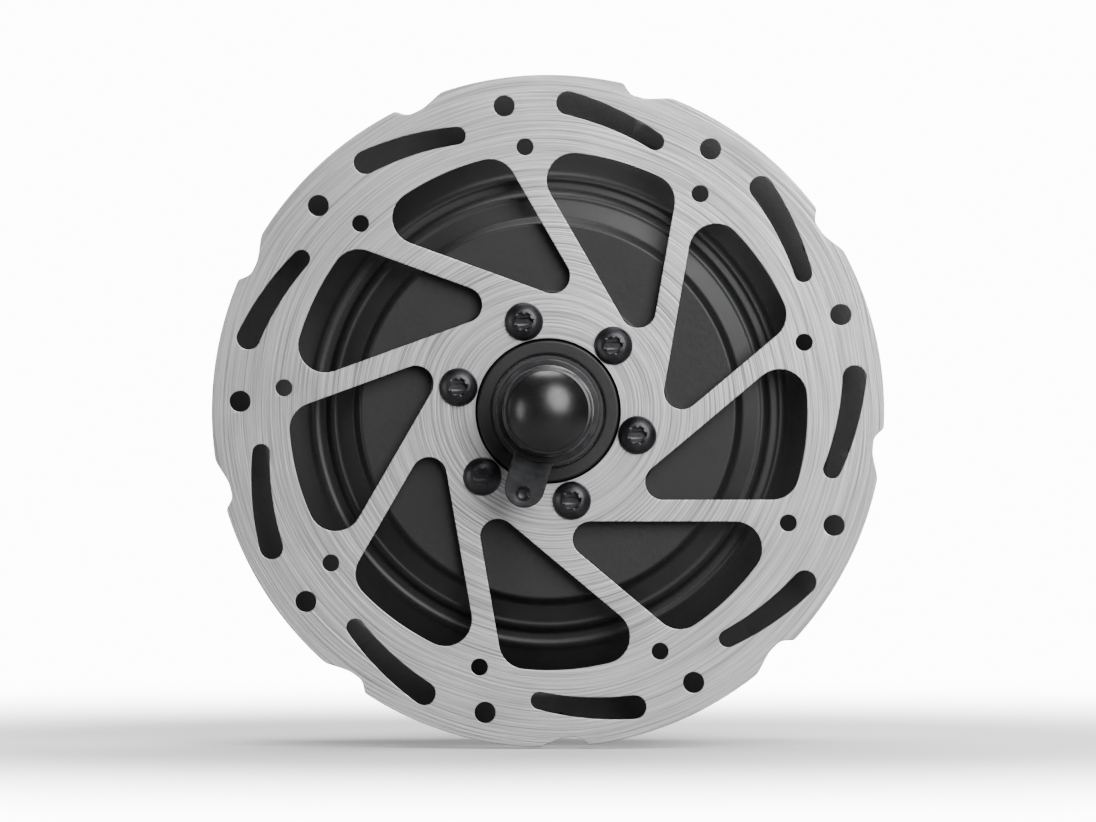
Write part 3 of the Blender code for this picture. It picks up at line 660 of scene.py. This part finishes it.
def make_hub_shell():
    """The casting: disc boss, flat face, a stepped and ridged shoulder, and two spoke flanges on a barrel."""
    front, back = y_of("hub_shell")
    rim = radius_of("hub_shell")
    face = front + 4.7
    left, right = (front + 19.6, front + 22.6), (back - 3.0, back)
    boss = [(13.5, front), (16.85, front), (16.85, front + 2.3), (27.0, front + 2.3), (28.2, face)]
    ring_one = [(44.8, face), (46.2, face + 2.9), (50.4, face + 4.4), (51.2, face + 4.3), (52.0, face + 4.9)]
    ring_two = [(53.0, face + 6.9), (54.7, face + 7.2), (55.5, face + 6.9)]
    ring_two += [(56.4, face + 7.3), (57.2, face + 8.2)]
    shoulder = [(59.4, face + 9.6), (62.0, face + 11.3), (64.2, face + 12.9), (65.6, face + 14.0)]
    neck = [(66.6, left[0] + 0.3), (68.0, left[0])]
    flanges = [(rim, left[0]), (rim, left[1]), (72.2, left[1] + 0.4), (71.0, left[1] + 2.0)]
    flanges += [(71.0, right[0] - 2.0), (72.2, right[0] - 0.4), (rim, right[0]), (rim, right[1])]
    inside = [(72.3, right[1]), (72.3, right[1] - 0.6), (66.5, right[1] - 0.6), (66.5, 0.9), (64.5, 0.9)]
    inside += [(64.5, left[0] + 4.0), (56.0, face + 11.5)]
    floor = [(43.2, face + 5.9), (42.6, face + 3.3), (21.3, face + 3.3), (21.3, face + 10.0)]
    bearing = [(17.8, face + 10.0), (17.8, face - 0.8), (13.5, face - 0.8)]
    profile = boss + ring_one + ring_two + shoulder + neck + flanges + inside + floor + bearing
    shell = turned("hub_shell_casting", profile, TURN_STEPS, ease=0.6)
    combined(shell, spoke_cutter(left, SPOKE_STARTS["left"]), "DIFFERENCE")
    combined(shell, spoke_cutter(right, SPOKE_STARTS["right"]), "DIFFERENCE")
    centres = [polar(BOLT_CIRCLE, BOLT_START + 360.0 * i / BOLT_COUNT) for i in range(BOLT_COUNT)]
    depths = (front + 1.0, front + 11.0)
    loops = [circle(BOLT_HOLE_RADIUS, 24, centre) for centre in centres]
    holes = [plate("bolt_hole", [loop], depths, 0.01, 0) for loop in loops]
    combined(shell, joined("bolt_holes", holes), "DIFFERENCE")
    fit(shell, "hub", "black_paint", ["hub_shell"])


def make_right_cover():
    """The drive-side cover, with two shallow rings turned into its face."""
    front, back = y_of("right_cover")
    rim = radius_of("right_cover")
    seat = front + 10.7
    edge = [(62.0, front), (65.7, front), (65.7, front + 7.4), (rim, front + 7.4), (rim, seat)]
    face = [(66.4, seat), (64.6, seat + 0.9), (58.2, seat + 1.7), (57.6, seat + 1.1), (55.8, seat + 1.3)]
    face += [(55.2, seat + 2.1), (46.0, seat + 3.2), (36.0, seat + 3.9)]
    face += [(35.4, seat + 3.2), (33.6, seat + 3.3)]
    face += [(33.0, seat + 4.1), (25.5, seat + 4.6), (24.0, seat + 6.5), (17.45, seat + 6.5)]
    boss = [(17.45, back), (13.0, back), (13.0, back - 10.4), (16.3, back - 10.4), (16.3, front + 7.4)]
    inside = [(20.4, front + 7.4), (22.0, front + 10.5), (60.4, front + 7.1), (62.0, front + 5.1)]
    cover = turned("drive_side_cover", edge + face + boss + inside, ease=0.5)
    fit(cover, "hub", "black_paint", ["right_cover"])
    for i in range(COVER_SCREWS):
        centre = polar(COVER_SCREW_CIRCLE, 360.0 * (i + 0.5) / COVER_SCREWS)
        head = [(0, seat + 1.7), (1.4, seat + 1.62), (2.2, seat + 1.25)]
        head += [(2.65, seat + 0.5), (2.65, seat - 0.4)]
        screw = turned("cover_screw_%d" % (i + 1), head + [(0, seat - 0.4)], SMALL_STEPS, centre, 0.25)
        combined(screw, plate("socket", [star(1.45, centre)], (seat + 0.7, seat + 3), 0.01, 0), "DIFFERENCE")
        fit(screw, "hub", "dark_steel")


# Bearings and seals


def make_bearings():
    """Rings with a shield pressed in the outer one, and its groove."""
    for name in ("left_bearing", "right_bearing", "rotor_bearing"):
        inner, outer = name + "_inner_ring", name + "_outer_ring"
        low, high = y_of(inner)
        half = (high - low) / 2
        middle = low + half
        thick = 2.4 if radius_of(outer) > 17 else 2.2
        outside = radius_of(outer)
        bore = radius_of(inner) - thick
        race = [(bore, low), (bore + thick, low), (bore + thick, middle - 2), (bore + thick - 0.9, middle)]
        race += [(bore + thick, middle + 2), (bore + thick, high), (bore, high)]
        fit(turned(inner + "_ground", race, RING_STEPS, ease=0.3), "axle", "bearing_steel", [inner])
        shield = bore + thick + 0.5
        ring = [(shield, low + 0.1), (outside - 2.6, low + 0.1), (outside - 2.3, low), (outside, low)]
        ring += [(outside, high), (outside - 2.3, high), (outside - 2.6, high - 0.1), (shield, high - 0.1)]
        ring += [(shield, high - 1.0), (outside - thick, high - 1.0)]
        ring += [(outside - thick, low + 1.0), (shield, low + 1.0)]
        body = "motor_rotor" if name == "rotor_bearing" else "hub"
        fit(turned(outer + "_ground", ring, RING_STEPS, ease=0.3), body, "bearing_steel", [outer])


def make_seals():
    for node, outwards in (("left_dust_seal", -1), ("right_dust_seal", 1)):
        low, high = y_of(node)
        face, back = (low, high) if outwards < 0 else (high, low)
        outer = radius_of(node)
        inner = 8.9
        lip = [(outer, face), (outer - 0.9, face)]
        lip += [(outer - 1.3, face - outwards * 0.5), (inner + 1.5, face - outwards * 0.5)]
        lip += [(inner + 1.1, face - outwards * 0.1), (inner + 0.2, face)]
        lip += [(inner, face - outwards * 0.7), (inner, back)]
        fit(turned(node + "_lip", lip + [(outer, back)], RING_STEPS, ease=0.25), "hub", "rubber", [node])


# Axle and its fittings


def thread_height(y, turn):
    """How far below the crest a thread is, at y and at a turn in degrees."""
    part = (y / THREAD_PITCH - turn / 360.0) % 1.0
    return THREAD_DEPTH * min(1.0, max(0.0, 1.25 - abs(part - 0.5) * 3.2))


def make_axle():
    """The hollow axle with both ends threaded and flattened."""
    left_end, right_end = y_of("axle")
    thread, seat, stator = 6.0, 8.5, 12.0
    steps = 64
    flat_from = 61.0
    plain = [(0, left_end), (thread - 1.1, left_end), (thread - 0.2, left_end + 0.9)]
    middle = [(thread - 0.1, -flat_from), (seat - 0.4, -flat_from), (seat, -flat_from + 0.4), (seat, -39.6)]
    middle += [(14.0, -39.6), (14.0, -37.2), (stator, -37.2), (stator, -13.5), (seat, -13.5), (seat, 20.6)]
    middle += [(7.5, 20.6), (7.5, 31.2), (thread - 0.1, 31.2)]
    end = [(thread - 0.2, right_end - 0.9), (thread - 1.0, right_end)]
    end += [(4.1, right_end), (3.9, right_end - 0.3)]
    end += [(3.9, -34.6), (0, -34.6)]
    pieces = [(radius, y, False) for radius, y in plain]
    threads = 0.125 * THREAD_PITCH
    y = left_end + 1.0
    while y < -flat_from - 0.3:
        pieces.append((thread, y, True))
        y += threads
    pieces += [(radius, y, False) for radius, y in middle]
    y = 31.6
    while y < right_end - 1.0:
        pieces.append((thread, y, True))
        y += threads
    pieces += [(radius, y, False) for radius, y in end]
    across = Vector(polar(1, TAB_DIRECTION + 90))
    rings = []
    for radius, y, threaded in pieces:
        if radius == 0:
            rings.append([(0, y, 0)])
            continue
        ring = []
        for i in range(steps):
            turn = 360.0 * i / steps
            reach = radius - (thread_height(y, turn) if threaded else 0.0)
            spot = Vector(polar(reach, turn))
            over = abs(spot.dot(across)) - FLAT_HALF
            if over > 0 and abs(y) > flat_from and radius > 4:
                spot -= across * math.copysign(over, spot.dot(across))
            ring.append((spot[0], y, spot[1]))
        rings.append(ring)
    axle = grid("threaded_axle", rings, closed=False)
    fit(axle, "axle", "zinc_steel", ["axle"])


def axle_hole():
    """The hole that fits the flattened thread: an arc on each side of two flats."""
    radius, half = THREAD_HOLE_RADIUS, FLAT_HALF + 0.3
    swing = math.degrees(math.asin(half / radius))
    one = arc((0, 0), radius, -swing, swing, 16)
    return turned_to(one + turned_to(one, 180), TAB_DIRECTION)


def tab_outline():
    """A round washer with one long tab, whose end is a half circle."""
    width, body, reach = 9.4, 11.2, 23.6
    half = width / 2
    swing = math.degrees(math.asin(half / body))
    points = arc((0, 0), body, swing, 360 - swing, 60)
    points += [(reach - half, -half)] + arc((reach - half, 0), half, -90, 90, 24)[1:]
    return turned_to(points, TAB_DIRECTION)


def tab_key(side):
    """The dished stud in the tab's hole, which keys into the dropout's slot."""
    low, high = y_of(side + "_tab_washer")
    outer, inner = (low, high) if side == "left" else (high, low)
    inwards = math.copysign(1, inner - outer)
    profile = [(0, outer + inwards * 1.25), (1.1, outer + inwards * 1.0), (1.62, outer + inwards * 0.55)]
    profile += [(1.62, inner + inwards * 1.3), (0, inner + inwards * 1.3)]
    return turned(side + "_tab_key", profile, SMALL_STEPS, polar(TAB_HOLE_AT, TAB_DIRECTION), 0.2)


def hex_nut(name, node, flats):
    """A hexagon kept inside a double cone, which chamfers its corners and eases its two faces."""
    low, high = y_of(node)
    corner = flats / math.sqrt(3)
    hexagon = rounded(circle(corner, 6, start=HEX_START), 0.5, 3)
    nut = plate(name, [hexagon, circle(THREAD_HOLE_RADIUS, 40)], (low, high), 0.08, 1)
    fall = (corner - flats / 2 * 0.97) * math.tan(math.radians(30))
    cone = [(0, low - 0.01), (flats / 2 * 0.97, low - 0.01), (corner + 0.02, low + fall)]
    cone += [(corner + 0.02, high - fall), (flats / 2 * 0.97, high + 0.01), (0, high + 0.01)]
    combined(nut, turned("chamfer", cone, RING_STEPS, ease=0.0), "INTERSECT")
    mouth = [(0, -3), (7.2, -3), (7.2, 0), (5.9, 1.3), (0, 1.3)]
    for face, side in ((low, 1), (high, -1)):
        sink = [(radius, face + side * depth) for radius, depth in mouth]
        combined(nut, turned("countersink", sink, 64, ease=0.0), "DIFFERENCE")
    return nut


def make_fittings():
    for side in ("left", "right"):
        locknut = hex_nut(side + "_locknut_hex", side + "_locknut", LOCKNUT_FLATS)
        fit(locknut, "axle", "zinc_steel", [side + "_locknut"])
        nut = hex_nut(side + "_axle_nut_hex", side + "_axle_nut", AXLE_NUT_FLATS)
        fit(nut, "axle", "zinc_steel", [side + "_axle_nut"])
        loops = [tab_outline(), axle_hole(), circle(1.65, 32, polar(TAB_HOLE_AT, TAB_DIRECTION))]
        tab = plate(side + "_tab_washer_stamped", loops, y_of(side + "_tab_washer"), 0.3, 3)
        fit(tab, "axle", "dark_steel", [side + "_tab_washer"])
        fit(tab_key(side), "axle", "dark_steel")
        low, high = y_of(side + "_washer")
        edge = radius_of(side + "_washer")
        ring = [(THREAD_HOLE_RADIUS, low), (edge, low), (edge, high), (THREAD_HOLE_RADIUS, high)]
        # The disc-side washer is zinc like the drive-side one, as its slot says, but takes the dark
        # black-oxide look: painted shade, which keeps the ring around the nut cap dark.
        zinc_or_painted_shade_look = "dark_steel" if side == "left" else "zinc_steel"
        washer = turned(side + "_washer_flat", ring, 128, ease=0.3)
        fit(washer, "axle", "zinc_steel", [side + "_washer"], zinc_or_painted_shade_look)
    low, high = y_of("axle_spacer")
    outer = radius_of("axle_spacer")
    bore = THREAD_HOLE_RADIUS
    tube = [(bore, low), (outer, low), (outer, high), (bore, high)]
    fit(turned("axle_spacer_tube", tube, RING_STEPS, ease=0.3), "axle", "zinc_steel", ["axle_spacer"])


def make_nut_cap():
    """A domed cap pressed over the disc-side axle nut, open towards the frame."""
    end, mouth = y_of("left_nut_cap")
    radius = radius_of("left_nut_cap")
    dome = mouth - 6.2
    rise = dome - end
    steps = 28
    outer = []
    for i in range(steps + 1):
        turn = math.radians(90 * i / steps)
        outer.append((radius * math.sin(turn), dome - rise * math.cos(turn)))
    outer[0] = (0, end)
    outer += [(radius, mouth - 0.9), (radius - 0.25, mouth - 0.3), (radius - 0.6, mouth)]
    inner = [(10.1, mouth), (10.1, -89.7), (8.6, -89.9), (5.6, -91.2), (0, -91.6)]
    fit(turned("axle_nut_dome_cap", outer + inner, 160, ease=0.12), "axle", "gloss_cap", ["left_nut_cap"])


def make_cable_grommet():
    """The ribbed rubber sleeve that the motor cable leaves through."""
    low, high = y_of("cable_grommet")
    head = radius_of("cable_grommet")
    hole = 3.2
    outside = [(hole, low), (3.6, low), (3.6, high - 3.2), (head, high - 3.2), (head, high - 2.2)]
    outside += [(head - 0.5, high - 2.0), (head - 0.5, high - 1.7)]
    outside += [(head - 0.2, high - 1.5), (head - 0.4, high - 0.9)]
    outside += [(head - 0.8, high - 0.7), (head - 0.7, high - 0.2), (head - 1.0, high), (hole, high)]
    fit(turned("cable_exit_grommet", outside, RING_STEPS, ease=0.2), "axle", "rubber", ["cable_grommet"])


# Freewheel


def cog_outline(teeth):
    """Chain teeth: a round seat for each roller, a blunt tip between. A few tips are lower, for shifting."""
    pitch = CHAIN_PITCH / (2 * math.sin(math.pi / teeth))
    full_tip = CHAIN_PITCH / 2 * (0.52 + 1 / math.tan(math.pi / teeth))
    turn_step = 360.0 / teeth
    short = {teeth // 4, teeth // 4 + 1, 3 * teeth // 4, 3 * teeth // 4 + 1} if teeth > 15 else set()
    points = []
    for i in range(teeth):
        turn = turn_step * i
        tip = full_tip - (1.3 if i in short else 0.0)
        points += arc(polar(pitch, turn), ROLLER_SEAT, turn + 236, turn + 124, 8)
        middle = turn + 0.5 * turn_step
        half = math.degrees(0.95 / tip)
        flank = tip - 1.7
        wide = math.degrees(1.75 / flank)
        places = [(flank, -wide), (tip - 0.35, -half * 1.35), (tip, -half * 0.8)]
        places += [(radius, -off) for radius, off in reversed(places)]
        points += [polar(radius, middle + off) for radius, off in places]
    return points


def lightening_holes(inner, outer):
    """Rounded windows between two radii, as on the large cogs of a freewheel."""
    count = 7
    loops = []
    for i in range(count):
        start, end = 360.0 * i / count + 7, 360.0 * (i + 1) / count - 7
        loop = arc((0, 0), outer, start, end, 20) + arc((0, 0), inner, end, start, 16)
        loops.append(rounded(loop, 2.4, 6))
    return loops


def make_cogs():
    bore = 27.6
    for i, teeth in enumerate(COG_TEETH):
        node = "cog_%d_%dt" % (i + 1, teeth)
        low, high = y_of(node)
        seat = CHAIN_PITCH / (2 * math.sin(math.pi / teeth)) - ROLLER_SEAT
        last = i == len(COG_TEETH) - 1
        loops = [cog_outline(teeth), circle(22.3 if last else bore, RING_STEPS)]
        if seat > 40:
            loops += lightening_holes(bore + 5.2, seat - 3.4)
        cog = plate("sprocket_%d_teeth" % teeth, loops, (low, high), 0.32, 2)
        fit(cog, "freewheel", "cog_steel", [node])
        if last:
            continue
        next_teeth = COG_TEETH[i + 1]
        next_low = y_of("cog_%d_%dt" % (i + 2, next_teeth))[0]
        next_seat = CHAIN_PITCH / (2 * math.sin(math.pi / next_teeth)) - ROLLER_SEAT
        inner = bore - 0.2 if i < len(COG_TEETH) - 2 else 22.2
        start = high + 0.05 if i < len(COG_TEETH) - 2 else 59.6
        outer = min(32.5, next_seat - 0.5) if i < len(COG_TEETH) - 2 else 24.0
        ring = [(inner, start), (outer, start), (outer, next_low - 0.05), (inner, next_low - 0.05)]
        spacer = turned("cog_spacer_%d" % (i + 1), ring, RING_STEPS, ease=0.2)
        fit(spacer, "freewheel", "nylon", look="spacer_plastic")


def ratchet_outline():
    """The spaces between the ratchet's teeth: each falls slowly and ends in a steep face."""
    step_turn = 360.0 / RATCHET_TEETH
    points = []
    for i in range(RATCHET_TEETH):
        turn = RATCHET_START + step_turn * i
        points += [polar(22.9, turn), polar(25.7, turn + 0.2), polar(24.6, turn + 0.5 * step_turn)]
    return points


def make_freewheel_body():
    low, high = y_of("freewheel_shell")
    ratchet = (low + 9.9, low + 17.9)
    outer = radius_of("freewheel_shell")
    shell = [(outer, low), (outer, high - 4.6), (22.0, high - 4.6), (22.0, high)]
    shell += [(19.9, high), (19.9, high - 11.0), (24.2, high - 13.0), (24.2, ratchet[1])]
    shell += [(23.2, ratchet[1]), (23.2, ratchet[0]), (24.2, ratchet[0])]
    outer_shell = turned("freewheel_outer_shell", shell + [(24.2, low)], ease=0.4)
    spaces = plate("ratchet_spaces", [ratchet_outline()], (ratchet[0] - 0.01, ratchet[1] + 0.01), 0.01, 0)
    combined(outer_shell, spaces, "DIFFERENCE")
    fit(outer_shell, "freewheel", "dark_steel", ["freewheel_shell"])
    low, high = y_of("freewheel_lock_cone")
    cone = [(16.3, low), (19.3, low), (19.3, high), (16.3, high)]
    ring = turned("freewheel_lock_ring", cone, 128, ease=0.35)
    places = [polar(17.8, turn) for turn in (20, 200)]
    pins = [plate("pin", [circle(0.95, 24, place)], (high - 2.2, high + 1), 0.01, 0) for place in places]
    combined(ring, joined("pins", pins), "DIFFERENCE")
    fit(ring, "hub", "zinc_steel", ["freewheel_lock_cone"])
    low, high = y_of("freewheel_inner_body")
    body = [(23.6, low), (23.6, low + 2.5), (20.6, low + 3.5)]
    body += [(20.6, high - 10.0), (16.0, high - 9.0), (16.0, high)]
    body += [(12.6, high), (12.6, low + 10.4), (17.8, low + 10.4), (17.8, low)]
    inner = turned("freewheel_splined_body", body, 144, ease=0.35)
    splines = 12
    tooth = []
    for i in range(splines):
        turn = 360.0 * i / splines
        tooth += [polar(12.3, turn - 9), polar(14.3, turn - 6.5)]
        tooth += [polar(14.3, turn + 6.5), polar(12.3, turn + 9)]
    combined(inner, plate("splines", [rounded(tooth, 0.3, 2)], (high - 9.0, high + 1), 0.01, 0), "DIFFERENCE")
    low, high = y_of("pawl_1")
    pocket = [(17.7, -11.4), (22.3, -11.4), (22.3, 2.6), (17.7, 2.6)]
    depths = (low - POCKET_ROOM, high + POCKET_ROOM)
    for turn in PAWL_STARTS:
        cutter = plate("pawl_pocket", [turned_to(pocket, turn)], depths, 0.01, 0)
        combined(inner, cutter, "DIFFERENCE")
    fit(inner, "hub", "dark_steel", ["freewheel_inner_body"])


# Studio


def make_camera():
    data = bpy.data.cameras.new("camera")
    data.sensor_width = CAMERA_SENSOR / MM
    data.lens = CAMERA_DISTANCE * CAMERA_SENSOR / FRAME_WIDTH / MM
    camera = bpy.data.objects.new("camera", data)
    camera.location = (0, -CAMERA_DISTANCE, 0)
    camera.rotation_euler = (math.pi / 2, 0, 0)
    bpy.context.scene.collection.objects.link(camera)
    bpy.context.scene.camera = camera


def make_light(name, towards, distance, size, glow):
    """A soft box at a distance in a direction from the hub, facing it. Glow is its brightness per area."""
    data = bpy.data.lights.new(name, "AREA")
    data.shape = "ELLIPSE"
    data.size, data.size_y = size
    data.energy = glow * math.pi * size[0] * size[1]
    light = bpy.data.objects.new(name, data)
    direction = Vector(towards).normalized()
    light.location = direction * distance
    light.rotation_euler = direction.to_track_quat("Z", "Y").to_euler()
    light.visible_camera = False
    bpy.context.scene.collection.objects.link(light)


def make_world():
    """A pale backdrop, and a dimmer room that lights the object."""
    world = bpy.data.worlds.new("studio")
    world.use_nodes = True
    nodes, links = world.node_tree.nodes, world.node_tree.links
    background = nodes["Background"]
    background.inputs["Color"].default_value = (0.97, 0.98, 1.0, 1.0)
    seen = nodes.new("ShaderNodeLightPath").outputs["Is Camera Ray"]
    glow = nodes.new("ShaderNodeMapRange")
    links.new(seen, glow.inputs[0])
    glow.inputs[3].default_value = ROOM_GLOW
    glow.inputs[4].default_value = BACKDROP_GLOW
    links.new(glow.outputs[0], background.inputs["Strength"])
    bpy.context.scene.world = world


def make_floor(lowest):
    """A pale round floor that fades away far from the object."""
    shape = bmesh.new()
    bmesh.ops.create_circle(shape, cap_ends=True, segments=RING_STEPS, radius=FLOOR_RADIUS)
    mesh = bpy.data.meshes.new("floor")
    shape.to_mesh(mesh)
    shape.free()
    floor = bpy.data.objects.new("floor", mesh)
    floor.location.z = lowest - FLOOR_GAP
    bpy.context.scene.collection.objects.link(floor)
    look = new_look("floor_look", (0.8, 0.8, 0.8), 0.6, 0.0, {"Specular IOR Level": 0.1})
    tree = look.node_tree
    seen = step(look, "LightPath").outputs["Is Camera Ray"]
    drive(look, "Emission Strength", spread(look, seen, 0.0, FLOOR_GLOW))
    drive(look, "Base Color", between(look, seen, (0.3, 0.3, 0.3), (0.8, 0.8, 0.8)))
    clear = step(look, "BsdfTransparent")
    mix = step(look, "MixShader")
    spot = step(look, "TexCoord").outputs["Object"]
    away = step(look, "VectorMath", {0: spot}, operation="LENGTH").outputs["Value"]
    reach = {0: away, 1: FLOOR_FADE[0], 2: FLOOR_FADE[1]}
    fade = step(look, "MapRange", reach, interpolation_type="SMOOTHSTEP")
    tree.links.new(fade.outputs[0], mix.inputs[0])
    tree.links.new(tree.nodes["Principled BSDF"].outputs[0], mix.inputs[1])
    tree.links.new(clear.outputs[0], mix.inputs[2])
    tree.links.new(mix.outputs[0], tree.nodes["Material Output"].inputs["Surface"])
    mesh.materials.append(look)


def paint_kept_nodes(frame):
    """Every CAD node that still shows gets the look of its slot in the record."""
    for part in frame["record"]["subparts"]:
        mesh = frame["nodes"][part["node"]].data
        mesh.materials.clear()
        mesh.materials.append(LOOKS[part["material_slot"]])


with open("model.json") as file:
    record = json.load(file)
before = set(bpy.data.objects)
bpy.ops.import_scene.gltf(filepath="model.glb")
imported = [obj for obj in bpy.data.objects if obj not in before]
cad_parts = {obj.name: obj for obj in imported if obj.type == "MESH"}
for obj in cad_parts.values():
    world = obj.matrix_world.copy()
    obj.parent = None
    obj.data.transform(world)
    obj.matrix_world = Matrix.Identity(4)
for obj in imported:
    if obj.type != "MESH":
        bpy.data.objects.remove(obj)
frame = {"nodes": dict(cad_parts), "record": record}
cad_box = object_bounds()
make_camera()
make_rotor()
make_rotor_bolts()
make_hub_shell()
make_right_cover()
make_bearings()
make_seals()
make_axle()
make_fittings()
make_nut_cap()
make_cable_grommet()
make_cogs()
make_freewheel_body()
paint_kept_nodes(frame)
make_floor(cad_box[0][2])
make_world()
make_light("key_light", (0.36, -0.82, 0.44), 1.5, (1.1, 1.5), 7.4)
make_light("side_light", (-0.86, -0.48, 0.03), 1.3, (0.34, 0.7), 5.0)
make_light("top_light", (0.0, 0.3, 1.0), 1.4, (1.0, 1.0), 6.0)
make_light("drive_side_light", (0.5, 0.8, 0.45), 1.6, (1.0, 1.35), 7.0)
make_light("rear_fill_light", (-0.75, 0.6, 0.12), 1.8, (1.2, 1.2), 3.5)
